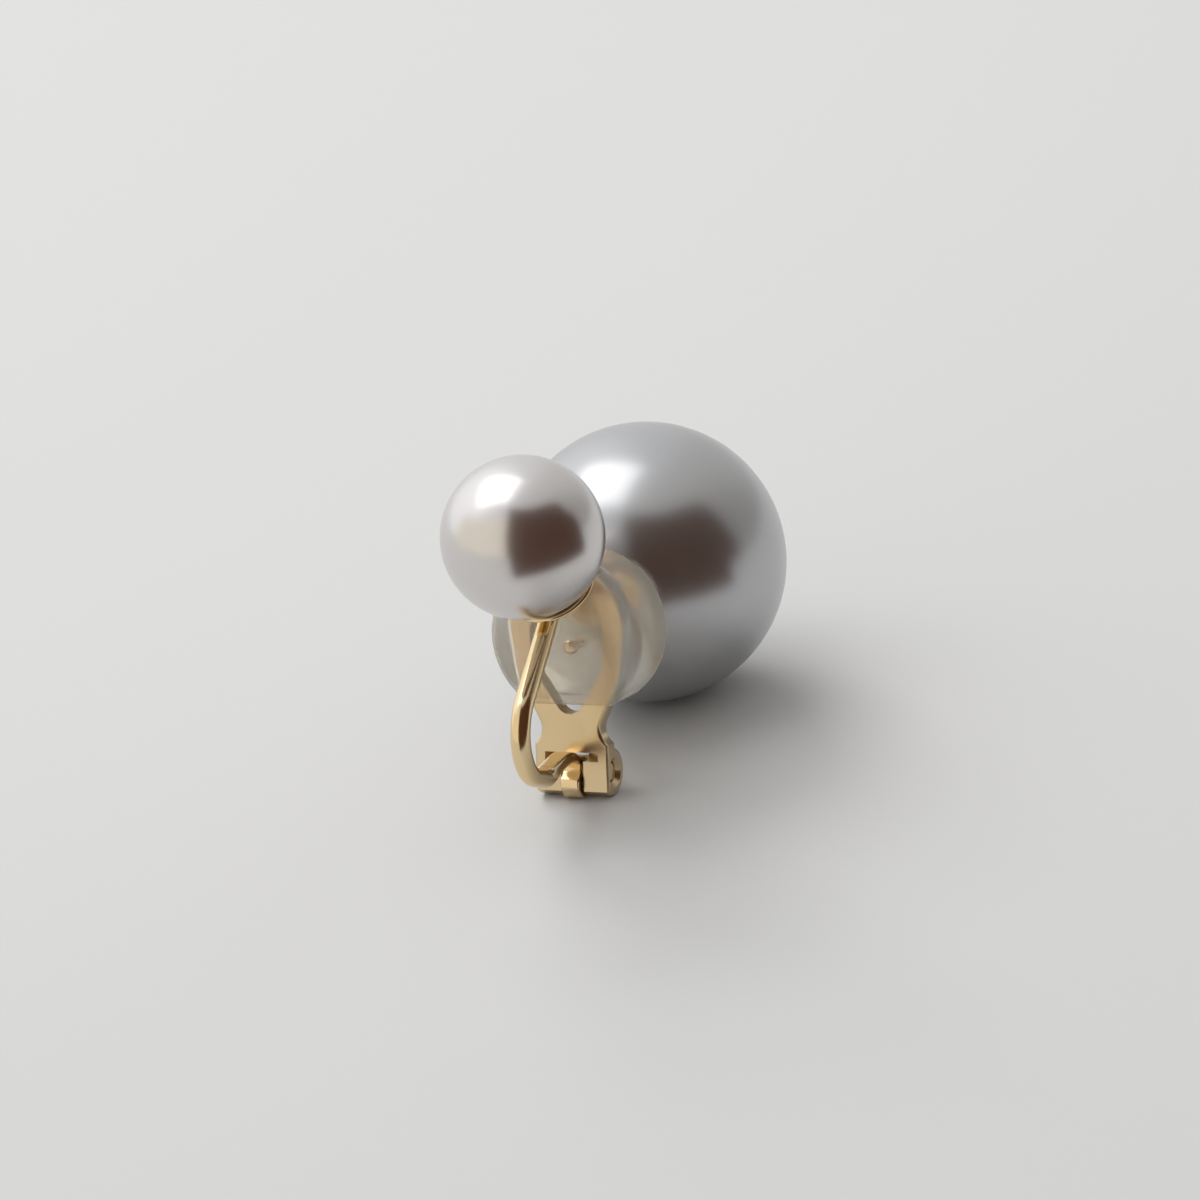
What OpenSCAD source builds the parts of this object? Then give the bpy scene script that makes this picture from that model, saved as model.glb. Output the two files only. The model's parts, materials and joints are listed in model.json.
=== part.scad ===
// Hinged ear clip with a small pearl in front of the lobe and a large pearl behind it.
// Drawn in the clip's own frame: X across, Y to the back, Z up the paddle, origin on the hinge pin.
// stand() then leans the clip back until it rests on its hinge and on the large pearl.

/* [Pearls] */
// Diameter of the front pearl
front_pearl_d = 8; // [7.8:0.1:8.2]
// Diameter of the back pearl
back_pearl_d = 14; // [13.6:0.1:14.2]
// How far the front pearl's centre lies in front of the hinge pin
front_pearl_ahead = 5.65; // [5.6:0.05:5.9]
// Height of the front pearl's centre up the paddle
front_pearl_up = 12.6; // [12.5:0.05:12.8]
// Height of the back pearl's centre up the paddle
back_pearl_up = 8.65; // [8.5:0.05:8.9]
// Air between the soft pad and the back pearl
back_pearl_air = 0.12; // [0.1:0.02:0.2]

/* [Paddle] */
// Thickness of the paddle's sheet
plate_t = 0.95; // [0.8:0.05:1]
// How far the paddle's front face lies in front of the pin's axis
plate_front = 0.77; // [0.7:0.01:0.8]
// Radius of the ring's upper end
ring_top_r = 3; // [2.9:0.05:3.1]
// Height of the centre of the ring's upper end
ring_top_up = 7.33; // [7.2:0.01:7.4]
// Radius of the ring's lower end
ring_low_r = 2.75; // [2.7:0.01:2.8]
// Height of the centre of the ring's lower end
ring_low_up = 5.5; // [5.4:0.01:5.6]
// Half the width of the stem at its waist
waist_half = 1.56; // [1.52:0.01:1.6]
// Height of the waist
waist_up = 2.2; // [2.15:0.01:2.25]
// Radius of the stem's hollow sides at the waist
stem_hollow_r = 0.9; // [0.85:0.05:0.95]

/* [Hinge] */
// Half the width of the hinge
hinge_half = 1.95; // [1.9:0.01:2.1]
// Outer radius of the hinge knuckles
knuckle_r = 1.17; // [1.14:0.01:1.2]
// Half the gap between the knuckles, where the arm's eye sits
gap_half = 0.6; // [0.58:0.01:0.64]
// Radius of the hinge pin
pin_r = 0.5; // [0.45:0.01:0.5]
// Radial play of the pin in the knuckles
knuckle_play = 0.03; // [0.02:0.01:0.05]
// Radial play of the arm's eye on the pin
eye_play = 0.05; // [0.03:0.01:0.06]
// Half the width of the window above the knuckles, which has blind ends
window_half = 1.4; // [1.3:0.05:1.45]
// Lower edge of that window
window_low = 0.62; // [0.6:0.01:0.66]
// Upper edge of that window
window_top = 1.06; // [1.04:0.01:1.1]

/* [Arm] */
// Radius of the arm's round wire
wire_r = 0.49; // [0.45:0.01:0.5]
// Rise of the wire's straight toe in front of the hinge, in degrees
toe_rise = 12.5; // [12:0.5:13]
// Length of the straight toe
toe_len = 1.16; // [1.1:0.02:1.2]
// Radius of the tight bend after the toe
toe_bend_r = 1.87; // [1.8:0.01:1.9]
// Turn of the tight bend, in degrees
toe_turn = 37.5; // [37:0.5:38]
// Radius of the big front bend
front_bend_r = 2.49; // [2.45:0.01:2.52]
// Turn of the front bend, in degrees
front_turn = 85; // [84:1:86]
// Length of the straight stretch that leans back to the pearl
slope_len = 4.15; // [4.1:0.01:4.2]
// Radius of the bend under the cup
neck_bend_r = 1.8; // [1.7:0.05:1.9]
// Turn of the bend under the cup, in degrees
neck_turn = 40; // [38:1:42]
// Length of the flared end that is soldered to the cup
neck_len = 0.88; // [0.86:0.01:0.9]
// Half the width of the wire's flared foot on the cup
neck_foot_half = 0.72; // [0.65:0.01:0.8]
// Half the length of that foot
neck_foot_reach = 0.95; // [0.9:0.01:1]
// Half the width of the arm's tongue and eye
eye_half = 0.5; // [0.48:0.01:0.52]
// Outer radius of the eye
eye_r = 0.8; // [0.78:0.01:0.82]

/* [Cups] */
// Wall of both cups
cup_wall = 0.25; // [0.22:0.01:0.28]
// Radius of the front cup's rim
front_cup_rim_r = 2.35; // [2.2:0.05:2.4]
// Radius of the front cup's bowl, which is far flatter than the pearl
front_bowl_r = 16; // [15:0.5:18]
// How steeply the front cup's axis drops towards the back, in degrees
front_cup_drop = 42; // [41.5:0.1:42.5]
// Radius of the back cup's rim
back_cup_rim_r = 1.94; // [1.8:0.02:2]
// Air between a pearl and its cup, and round its peg
pearl_play = 0.03; // [0.02:0.01:0.05]
// Radius of the pegs in the pearls
peg_r = 0.4; // [0.35:0.01:0.45]
// Depth of the drilled holes in the pearls
drill_depth = 2.8; // [2.6:0.1:3.2]

/* [Pad] */
// Radius of the soft pad
pad_r = 4; // [3.9:0.02:4.04]
// Height of the pad's centre up the paddle
pad_up = 6.8; // [6.75:0.01:6.85]
// How far the pad's front face lies in front of the pin's axis
pad_front = 1.03; // [1:0.01:1.05]
// How far the pad's back face lies behind the pin's axis
pad_back = 2.66; // [2.6:0.01:2.7]
// Height at which the pad is cut off straight for its mouth
pad_mouth_up = 3.4; // [3.3:0.01:3.6]
// Rounding of the pad's rims
pad_round = 0.4; // [0.3:0.02:0.5]
// Play between the pad's pocket and the paddle
pocket_play = 0.04; // [0.02:0.01:0.06]

/* [Hidden] */
$fn = 64;

gold = [0.85, 0.70, 0.45];
bright_gold = [0.93, 0.78, 0.50];
white_pearl = [0.86, 0.84, 0.83];
grey_pearl = [0.58, 0.58, 0.62];
silicone = [0.90, 0.90, 0.92, 0.55];

overlap = 0.1;
through = 2; // more than the depth of anything that is cut through
front_pearl_r = front_pearl_d / 2;
back_pearl_r = back_pearl_d / 2;
back_pearl_y = pad_back + back_pearl_air + back_pearl_r;
plate_back = plate_t - plate_front;
peg_in = drill_depth - 0.2; // length of a peg inside its pearl

// Post that carries the back cup, and the room that the pad leaves round post and cup
post_r = peg_r + 0.1;
post_play = 0.05;
cup_room = 0.3;

// The pin ends at the foot of the funnels in the knuckles, with a small bevel
bore_mouth_depth = 0.22;
pin_half = hinge_half - bore_mouth_depth;
pin_bevel = 0.12;

// Stud that holds the pad and shows through it
stud_up = 6.2;
stud_ball_r = 0.37;
stud_shank_r = 0.24;
stud_front = 0.62;
stud_tail = 1.1;
stud_play = 0.02;

// Cam lug below the arm's eye, as side-view points [ahead, up]
cam_lug = [[0.2, 0.5], [0.62, 0.1], [1.12, -0.16], [1.2, -0.3], [1.2, -0.7], [0.85, -1.12],
    [0.5, -1.29], [-0.1, -1.15], [-0.3, -0.7]];

// The arm's tongue, flattened from the wire's end: it rises to a crest in front of the paddle and
// runs down into the eye. Side-view places [ahead, up] of its middle, each with half its thickness.
tongue = [[0.45, 0.54, 0.18], [0.95, 0.75, 0.23], [1.35, 0.9, 0.28], [1.75, 0.98, 0.31],
    [2.15, 0.98, 0.32], [2.7, 0.9, 0.32], [3.3, 0.78, 0.34], [3.8, 0.62, 0.41]];
tongue_squareness = 0.4; // power of the cross section: 1 is round, 0 is square

// The wire's centre line in side view: each piece starts where the last one ends
toe_start = [4.2, 0.48];
toe_end = toe_start + toe_len * along(toe_rise);
front_heading = toe_rise + toe_turn;
front_start = bend_end(toe_end, toe_rise, toe_bend_r, toe_turn);
front_end = bend_end(front_start, front_heading, front_bend_r, front_turn);
slope_heading = front_heading + front_turn;
slope_end = front_end + slope_len * along(slope_heading);
neck_heading = slope_heading - neck_turn;
neck_start = bend_end(slope_end, slope_heading, neck_bend_r, -neck_turn);

wire_sides = 16;
wire_bend_steps = 6;

// Lean at which the knuckles and the back pearl touch the same floor
lean = acos((back_pearl_r - knuckle_r) / norm([back_pearl_y, back_pearl_up]))
    - atan2(back_pearl_y, back_pearl_up);

// Front and back of the leaning clip, for the origin in the middle of its footprint
front_bend_centre = bend_centre(front_start, front_heading, front_bend_r, 1);
front_edge_y = leaning_y(-front_bend_centre[0], front_bend_centre[1]) - front_bend_r - wire_r;
back_edge_y = leaning_y(back_pearl_y, back_pearl_up) + back_pearl_r;

// Unit vector along a heading in side view
function along(heading) = [cos(heading), sin(heading)];

// Centre of a bend that starts at p; side is 1 for a turn up and back, -1 for the other way
function bend_centre(p, heading, r, side) = p + r * side * along(heading + 90);

// End of a bend that starts at p and turns by a signed angle
function bend_end(p, heading, r, turn) =
    bend_centre(p, heading, r, sign(turn)) - r * sign(turn) * along(heading + 90 + turn);

// Y of a point of the clip's frame once the clip leans on the floor
function leaning_y(y, z) = y * cos(lean) + z * sin(lean);

// Points of an arc from angle a to angle b
function arc(centre, r, a, b, steps) =
    [for (i = [0:steps]) centre + r * along(a + (b - a) * i / steps)];

// A right-hand half outline joined to its mirror image
function mirrored(half) = concat(half, [for (i = [len(half) - 1:-1:0]) [-half[i][0], half[i][1]]]);

// The stem's straight flanks touch its hollow sides and the ring's lower end
stem_drop = ring_low_up - waist_up;
stem_hollow_x = waist_half + stem_hollow_r;
stem_join = atan2(stem_drop, stem_hollow_x)
    - acos((stem_hollow_r + ring_low_r) / norm([stem_hollow_x, stem_drop]));
ring_side = asin((ring_top_r - ring_low_r) / (ring_top_up - ring_low_up));

// Outline of ring, stem and hinge strips, made larger all round by grow
function paddle_half(grow) = concat(
    [[hinge_half + grow, 0]],
    arc([stem_hollow_x, waist_up], stem_hollow_r - grow,
        180 + acos((stem_hollow_x - hinge_half - grow) / (stem_hollow_r - grow)), 180 - stem_join, 12),
    arc([0, ring_low_up], ring_low_r + grow, -stem_join, -ring_side, 7),
    arc([0, ring_top_up], ring_top_r + grow, -ring_side, 90, 18)
);

// Ring hole: a narrow round foot, full sides and a flat top with round corners
hole_half = 1.93;
hole_side_up = 5.9;
hole_foot_r = 0.72;
hole_foot_up = 3.67;
hole_corner_r = 0.85;
hole_top = 7.95;
hole_taper = asin((hole_half - hole_foot_r) / (hole_side_up - hole_foot_up));
function hole_outline() = mirrored(concat(
    arc([0, hole_foot_up], hole_foot_r, -90, -hole_taper, 10),
    arc([0, hole_side_up], hole_half, -hole_taper, 0, 5),
    arc([hole_half - hole_corner_r, hole_top - hole_corner_r], hole_corner_r, 0, 90, 8)
));

// Turns a side view, drawn as [ahead, up], into the clip's frame
module side_view() rotate([90, 0, -90]) children();

// Extrudes a front view between two depths, counted ahead of the pin's axis
module sheet(ahead, behind)
    translate([0, behind, 0]) rotate([90, 0, 0]) linear_extrude(ahead + behind) children();

// A cylinder along X between two places
module across(from, to, r) translate([from, 0, 0]) rotate([0, 90, 0]) cylinder(h = to - from, r = r);

// Leans the clip back on its hinge and back pearl, with the origin under its middle
module stand()
    translate([0, -(front_edge_y + back_edge_y) / 2, knuckle_r]) rotate([-lean, 0, 0]) children();

// Dish under a pearl in the direction +Z, its bowl at least as flat as the pearl
module cup(pearl_r, bowl_r, rim_r) translate([0, 0, pearl_r + pearl_play - bowl_r])
    rotate_extrude($fn = 96) intersection() {
        difference() {
            circle(r = bowl_r + cup_wall, $fn = 256);
            circle(r = bowl_r, $fn = 256);
        }
        square([rim_r, bowl_r + 2 * cup_wall]);
    }

// Peg from a cup's wall down into the pearl, along -Z
module peg(pearl_r)
    translate([0, 0, pearl_r - peg_in]) cylinder(h = peg_in + pearl_play + cup_wall / 2, r = peg_r);

// Pearl drilled half through from +Z
module drilled_pearl(pearl_r) difference() {
    sphere(r = pearl_r, $fn = 128);
    translate([0, 0, pearl_r - drill_depth]) cylinder(h = drill_depth + overlap, r = peg_r + pearl_play);
}

// Places something drawn round +Z at the front pearl, its axis towards the front cup
module at_front_pearl()
    translate([0, -front_pearl_ahead, front_pearl_up]) rotate([-90 - front_cup_drop, 0, 0]) children();

// Places something drawn round +Z at the back pearl, its axis towards the paddle
module at_back_pearl() translate([0, back_pearl_y, back_pearl_up]) rotate([90, 0, 0]) children();

// Knuckle from x = from to x = to, flat in front where it runs on from the sheet
module knuckle(from, to) intersection() {
    across(from, to, knuckle_r);
    translate([from - overlap, -plate_front, -2 * knuckle_r])
        cube([to - from + 2 * overlap, 3 * knuckle_r, 4 * knuckle_r]);
}

// Funnel at a bore's mouth, at x = 0 and opening towards +X
module bore_mouth() {
    bore_r = pin_r + knuckle_play;
    h = bore_mouth_depth + overlap;
    translate([-bore_mouth_depth, 0, 0]) rotate([0, 90, 0]) cylinder(h = h, r1 = bore_r, r2 = bore_r + h);
}

module paddle() color(gold) stand() {
    difference() {
        union() {
            sheet(plate_front, plate_back) polygon(mirrored(paddle_half(0)));
            knuckle(gap_half, hinge_half);
            knuckle(-hinge_half, -gap_half);
        }
        sheet(through, through) polygon(hole_outline());
        translate([-window_half, -through, window_low])
            cube([2 * window_half, through, window_top - window_low]);
        translate([-gap_half, -through, -through]) cube([2 * gap_half, 2 * through, through + window_top]);
        across(-hinge_half - overlap, hinge_half + overlap, pin_r + knuckle_play);
        for (side = [0, 1]) mirror([side, 0, 0]) translate([hinge_half, 0, 0]) bore_mouth();
    }
    at_back_pearl() {
        cup(back_pearl_r, back_pearl_r + pearl_play, back_cup_rim_r);
        peg(back_pearl_r);
        post_foot = back_pearl_r + pearl_play + cup_wall / 2;
        translate([0, 0, post_foot]) cylinder(h = back_pearl_y - post_foot - plate_back / 2, r = post_r);
    }
}

module hinge_pin() color(bright_gold) stand() {
    across(-pin_half + pin_bevel, pin_half - pin_bevel, pin_r);
    for (side = [0, 1]) mirror([side, 0, 0]) translate([pin_half - pin_bevel, 0, 0]) rotate([0, 90, 0])
        cylinder(h = pin_bevel, r1 = pin_r, r2 = pin_r - pin_bevel);
}

// Stations along tongue and wire, in side view: [place, heading, half thickness, half width, squareness]
function tongue_place(i) = i < len(tongue) ? [tongue[i][0], tongue[i][1]] : toe_start;
function tongue_heading(i) =
    let (run = tongue_place(i + 1) - tongue_place(max(i - 1, 0))) atan2(run[1], run[0]);
function round_station(p, heading, r) = [p, heading, r, r, 1];
function bend_stations(p, heading, r, turn, first) =
    [for (i = [first:wire_bend_steps]) let (turned = turn * i / wire_bend_steps)
        round_station(bend_end(p, heading, r, turned), heading + turned, wire_r)];
wire_stations = concat(
    [for (i = [0:len(tongue) - 1])
        [tongue_place(i), tongue_heading(i), tongue[i][2], eye_half, tongue_squareness]],
    [round_station(toe_start, 0, wire_r)],
    bend_stations(toe_end, toe_rise, toe_bend_r, toe_turn, 0),
    bend_stations(front_start, front_heading, front_bend_r, front_turn, 1),
    bend_stations(slope_end, slope_heading, neck_bend_r, -neck_turn, 0),
    [[neck_start + neck_len * along(neck_heading), front_cup_drop, neck_foot_reach, neck_foot_half, 1]]
);

// Sine or cosine drawn out towards a square by a power
function squared(value, squareness) = sign(value) * abs(value) ^ squareness;

// Ring of points round the wire at one station
function wire_ring(station) = [for (i = [0:wire_sides - 1])
    let (
        a = 360 * (i + 0.5) / wire_sides,
        out = station[2] * squared(cos(a), station[4]) * along(station[1] + 90)
    ) [station[0][0] + out[0], station[0][1] + out[1], station[3] * squared(sin(a), station[4])]];

// Wire swept through its stations, in side view
module wire() {
    last = len(wire_stations) - 1;
    polyhedron(
        points = [for (station = wire_stations) each wire_ring(station)],
        faces = concat(
            [[for (i = [0:wire_sides - 1]) i]],
            [[for (i = [wire_sides - 1:-1:0]) last * wire_sides + i]],
            [for (ring = [0:last - 1], i = [0:wire_sides - 1])
                let (here = ring * wire_sides + i, beside = ring * wire_sides + (i + 1) % wire_sides)
                each [[here, beside + wire_sides, beside], [here, here + wire_sides, beside + wire_sides]]]
        )
    );
}

module arm() color(gold) stand() {
    side_view() {
        difference() {
            translate([0, 0, -eye_half]) linear_extrude(2 * eye_half) {
                circle(r = eye_r);
                polygon(cam_lug);
            }
            translate([0, 0, -2 * eye_half]) cylinder(h = 4 * eye_half, r = pin_r + eye_play);
        }
        wire();
    }
    at_front_pearl() {
        cup(front_pearl_r, front_bowl_r, front_cup_rim_r);
        peg(front_pearl_r);
    }
}

module front_pearl() color(white_pearl) stand() at_front_pearl() drilled_pearl(front_pearl_r);

module back_pearl() color(grey_pearl) stand() at_back_pearl() drilled_pearl(back_pearl_r);

// Half section of the pad's rounded disc, with its axis on X = 0
module pad_section() {
    depth = pad_front + pad_back;
    square([pad_r - pad_round, depth]);
    translate([0, pad_round]) square([pad_r, depth - 2 * pad_round]);
    for (y = [pad_round, depth - pad_round])
        translate([pad_r - pad_round, y]) circle(r = pad_round, $fn = 32);
}

module comfort_pad() color(silicone) stand() difference() {
    translate([0, pad_back, pad_up]) rotate([90, 0, 0]) rotate_extrude($fn = 128) pad_section();
    translate([-pad_r, -pad_front - overlap, 0])
        cube([2 * pad_r, pad_front + pad_back + 2 * overlap, pad_mouth_up]);
    sheet(plate_front + pocket_play, plate_back + pocket_play)
        polygon(mirrored(paddle_half(pocket_play)));
    at_back_pearl() {
        translate([0, 0, back_pearl_r - overlap])
            cylinder(h = back_pearl_air + overlap + cup_wall, r = back_cup_rim_r + cup_room);
        translate([0, 0, back_pearl_r]) cylinder(h = back_pearl_y - back_pearl_r, r = post_r + post_play);
    }
    translate([0, 0, stud_up]) rotate([-90, 0, 0])
        cylinder(h = stud_tail + stud_play, r = stud_shank_r + stud_play);
}

module pad_stud() color(bright_gold) stand() translate([0, 0, stud_up]) rotate([90, 0, 0]) {
    translate([0, 0, stud_front - stud_ball_r]) sphere(r = stud_ball_r);
    translate([0, 0, -stud_tail]) cylinder(h = stud_tail + stud_front - stud_ball_r, r = stud_shank_r);
}

paddle();
hinge_pin();
arm();
front_pearl();
back_pearl();
comfort_pad();
pad_stud();
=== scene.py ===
"""Dressed model of a clip-on earring with two pearls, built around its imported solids.

Every piece is modelled in the clip's own frame, in millimetres: X across, Y to the back, Z up the paddle,
origin on the hinge pin. It is then set down in metres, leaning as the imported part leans.
"""

from __future__ import annotations

import json
import logging
import math
from abc import ABC, abstractmethod
from dataclasses import dataclass, field
from enum import Enum
from typing import NamedTuple

import bpy
from mathutils import Matrix, Vector

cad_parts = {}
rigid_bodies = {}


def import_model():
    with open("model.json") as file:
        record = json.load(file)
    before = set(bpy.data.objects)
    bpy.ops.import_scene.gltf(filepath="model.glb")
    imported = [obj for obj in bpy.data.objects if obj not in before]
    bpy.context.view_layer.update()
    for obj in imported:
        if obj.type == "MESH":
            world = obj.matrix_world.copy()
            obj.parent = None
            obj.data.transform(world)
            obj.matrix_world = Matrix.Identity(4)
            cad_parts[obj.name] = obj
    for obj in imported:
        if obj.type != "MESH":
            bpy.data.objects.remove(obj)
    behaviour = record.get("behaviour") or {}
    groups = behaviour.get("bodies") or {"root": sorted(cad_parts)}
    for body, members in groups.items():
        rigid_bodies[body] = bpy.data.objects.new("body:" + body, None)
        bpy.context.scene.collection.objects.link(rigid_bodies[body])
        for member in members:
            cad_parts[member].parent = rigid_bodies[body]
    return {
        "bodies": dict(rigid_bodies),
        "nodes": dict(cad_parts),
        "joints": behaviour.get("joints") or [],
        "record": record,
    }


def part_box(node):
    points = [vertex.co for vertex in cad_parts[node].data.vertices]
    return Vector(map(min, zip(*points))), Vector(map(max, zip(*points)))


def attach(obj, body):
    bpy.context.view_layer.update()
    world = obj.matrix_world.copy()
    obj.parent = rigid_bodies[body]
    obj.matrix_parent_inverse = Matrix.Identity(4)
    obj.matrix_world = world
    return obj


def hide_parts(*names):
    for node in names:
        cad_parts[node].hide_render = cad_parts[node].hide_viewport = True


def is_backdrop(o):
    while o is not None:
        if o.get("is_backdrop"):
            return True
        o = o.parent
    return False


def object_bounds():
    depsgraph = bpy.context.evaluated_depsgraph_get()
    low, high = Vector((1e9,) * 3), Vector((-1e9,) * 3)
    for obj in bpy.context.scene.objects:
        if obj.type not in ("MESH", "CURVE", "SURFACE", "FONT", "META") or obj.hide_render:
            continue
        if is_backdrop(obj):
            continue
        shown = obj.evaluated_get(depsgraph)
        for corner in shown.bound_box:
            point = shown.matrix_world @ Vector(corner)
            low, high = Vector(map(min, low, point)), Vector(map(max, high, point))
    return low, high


LOG = logging.getLogger("earring")
# A millimetre in metres
MM = 0.001
# Points nearer to each other than this are merged, in millimetres
WELD = 0.0005
# How much large faces count in the shading, where 50 is neutral
FACE_WEIGHT = 80
Point = tuple[float, float]
Color = tuple[float, float, float]


class Join(Enum):
    """How a second closed piece changes the first one."""

    WELD_ON = "UNION"
    CUT_OUT = "DIFFERENCE"


class Body(Enum):
    """The two bodies of the clip."""

    BACK = "clip_back"
    FRONT = "arm_front"


# Workbench


def deselect() -> None:
    """Leave edit mode and clear every selection."""
    if bpy.context.object is not None and bpy.context.object.mode != "OBJECT":
        bpy.ops.object.mode_set(mode="OBJECT")
    bpy.ops.object.select_all(action="DESELECT")


def take(piece: bpy.types.Object) -> None:
    """Make one piece the only selected one, and active.

    Args:
        piece: The piece to work on.
    """
    deselect()
    piece.select_set(True)
    bpy.context.view_layer.objects.active = piece


def open_all(piece: bpy.types.Object) -> None:
    """Enter edit mode with the whole mesh selected.

    Args:
        piece: The piece to edit.
    """
    take(piece)
    bpy.ops.object.mode_set(mode="EDIT")
    bpy.ops.mesh.select_mode(type="VERT")
    bpy.ops.mesh.select_all(action="SELECT")


def close_up(piece: bpy.types.Object) -> None:
    """Merge doubles and turn the faces outwards, then leave edit mode.

    Args:
        piece: The piece to finish.
    """
    open_all(piece)
    bpy.ops.mesh.remove_doubles(threshold=WELD)
    bpy.ops.mesh.normals_make_consistent(inside=False)
    bpy.ops.object.mode_set(mode="OBJECT")


def drawn_loop(name: str, points: list[Vector]) -> bpy.types.Object:
    """Draw a closed loop of edges through given points.

    Args:
        name: Name of the new piece.
        points: The loop's points in order.

    Returns:
        A piece that holds only the loop.
    """
    deselect()
    bpy.ops.mesh.primitive_circle_add(vertices=len(points), radius=1)
    piece = bpy.context.object
    piece.name = name
    for vertex, point in zip(piece.data.vertices, points):
        vertex.co = point
    return piece


def slab(name: str, points: list[Vector], along: Vector) -> bpy.types.Object:
    """Extrude a flat outline into a solid.

    Args:
        name: Name of the new piece.
        points: The outline's points in order, all in one plane.
        along: Direction and length of the extrusion.

    Returns:
        The closed solid.
    """
    piece = drawn_loop(name, points)
    open_all(piece)
    bpy.ops.mesh.edge_face_add()
    bpy.ops.mesh.extrude_region_move(TRANSFORM_OT_translate={"value": along})
    close_up(piece)
    return piece


def turned(name: str, profile: list[Point], steps: int = 96) -> bpy.types.Object:
    """Turn a profile round the Z axis, as on a lathe.

    Args:
        name: Name of the new piece.
        profile: Points (radius, height), the first and the last on the axis.
        steps: Number of facets round the axis.

    Returns:
        The closed solid.
    """
    piece = drawn_loop(name, [Vector((radius, 0, height)) for radius, height in profile])
    last = len(profile) - 1
    # The edge on the axis closes the loop and would turn into nothing
    for edge in piece.data.edges:
        edge.select = set(edge.vertices) == {0, last}
    for vertex in piece.data.vertices:
        vertex.select = vertex.index in (0, last)
    take(piece)
    bpy.ops.object.mode_set(mode="EDIT")
    bpy.ops.mesh.select_mode(type="EDGE")
    bpy.ops.mesh.delete(type="EDGE")
    open_all(piece)
    bpy.ops.mesh.spin(steps=steps, angle=math.tau, center=(0, 0, 0), axis=(0, 0, 1))
    close_up(piece)
    return piece


def rod(name: str, radius: float, start: float, end: float, steps: int) -> bpy.types.Object:
    """Turn a plain rod that lies on the Z axis from one height to another."""
    return turned(name, [(0, start), (radius, start), (radius, end), (0, end)], steps)


def lofted(name: str, rings: list[list[Vector]]) -> bpy.types.Object:
    """Bridge rings of points in their order and close both ends.

    Args:
        name: Name of the new piece.
        rings: The rings, each with the same number of points.

    Returns:
        The closed solid.
    """
    loops = [drawn_loop(name, ring) for ring in rings]
    take(loops[0])
    for loop in loops:
        loop.select_set(True)
    bpy.ops.object.join()
    piece = bpy.context.object
    open_all(piece)
    bpy.ops.mesh.select_mode(type="EDGE")
    bpy.ops.mesh.bridge_edge_loops()
    open_all(piece)
    bpy.ops.mesh.fill_holes(sides=0)
    close_up(piece)
    return piece


def box(name: str, low: Vector, high: Vector) -> bpy.types.Object:
    """Make a box between two corners, used as a cutter.

    Args:
        name: Name of the new piece.
        low: Its lowest corner.
        high: Its highest corner.

    Returns:
        The closed solid.
    """
    deselect()
    bpy.ops.mesh.primitive_cube_add(size=1, location=(low + high) / 2, scale=high - low)
    piece = bpy.context.object
    piece.name = name
    settle(piece)
    return piece


def settle(piece: bpy.types.Object, matrix: Matrix | None = None) -> None:
    """Move a piece by a matrix and write the place into its mesh.

    Args:
        piece: The piece.
        matrix: The move, or None to settle the piece where it is.
    """
    take(piece)
    if matrix is not None:
        piece.matrix_world = matrix @ piece.matrix_world
    bpy.ops.object.transform_apply(location=True, rotation=True, scale=True)


def combine(piece: bpy.types.Object, tool: bpy.types.Object, how: Join) -> None:
    """Weld a closed piece on, or cut it out.

    Args:
        piece: The piece that changes.
        tool: The piece that is welded on or cut out, and is used up.
        how: Which of the two.
    """
    modifier = piece.modifiers.new("combine", "BOOLEAN")
    modifier.operation = how.value
    modifier.solver = "EXACT"
    modifier.object = tool
    take(piece)
    bpy.ops.object.modifier_apply(modifier=modifier.name)
    bpy.data.objects.remove(tool)
    close_up(piece)


def round_edges(
    piece: bpy.types.Object, width: float, steps: int = 3, above: float = 32, clamped: bool = False
) -> None:
    """Round the edges that are sharper than an angle.

    Args:
        piece: The piece.
        width: Width of the rounding in millimetres.
        steps: Number of facets across the rounding.
        above: Angle in degrees above which an edge is rounded.
        clamped: Whether short edges narrow the rounding.
    """
    modifier = piece.modifiers.new("rounding", "BEVEL")
    modifier.width = width
    modifier.segments = steps
    modifier.limit_method = "ANGLE"
    modifier.angle_limit = math.radians(above)
    modifier.use_clamp_overlap = clamped
    take(piece)
    bpy.ops.object.modifier_apply(modifier=modifier.name)


def smooth(piece: bpy.types.Object, below: float = 40) -> None:
    """Shade smoothly over the flatter edges, flat faces staying flat.

    Args:
        piece: The piece.
        below: Angle in degrees below which an edge is smooth.
    """
    take(piece)
    bpy.ops.object.shade_smooth_by_angle(angle=math.radians(below))
    modifier = piece.modifiers.new("even_shading", "WEIGHTED_NORMAL")
    modifier.keep_sharp = True
    modifier.weight = FACE_WEIGHT
    bpy.ops.object.modifier_apply(modifier=modifier.name)


def arc(centre: Point, radius: float, start: float, end: float, steps: int) -> list[Point]:
    """Points along an arc.

    Args:
        centre: The arc's centre.
        radius: Its radius.
        start: Angle of its first point in degrees.
        end: Angle of its last point.
        steps: Number of equal steps between the two.

    Returns:
        The points, one more than the steps.
    """
    angles = [math.radians(start + (end - start) * i / steps) for i in range(steps + 1)]
    return [(centre[0] + radius * math.cos(a), centre[1] + radius * math.sin(a)) for a in angles]


def eased(rows: list[tuple[float, ...]], steps: int) -> list[tuple[float, ...]]:
    """Rows of numbers on a smooth curve through given rows.

    Args:
        rows: The given rows, all of one length.
        steps: Number of new rows from one given row to the next.

    Returns:
        The new rows, with the first and the last given row at their ends.
    """
    padded = [rows[0], *rows, rows[-1]]
    found = []
    for before, start, end, after in zip(padded, padded[1:], padded[2:], padded[3:]):
        for step in range(steps):
            t = step / steps
            found.append(tuple(
                b + t / 2 * (c - a + t * (2 * a - 5 * b + 4 * c - d + t * (3 * (b - c) + d - a)))
                for a, b, c, d in zip(before, start, end, after)
            ))
    return [*found, rows[-1]]


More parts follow.
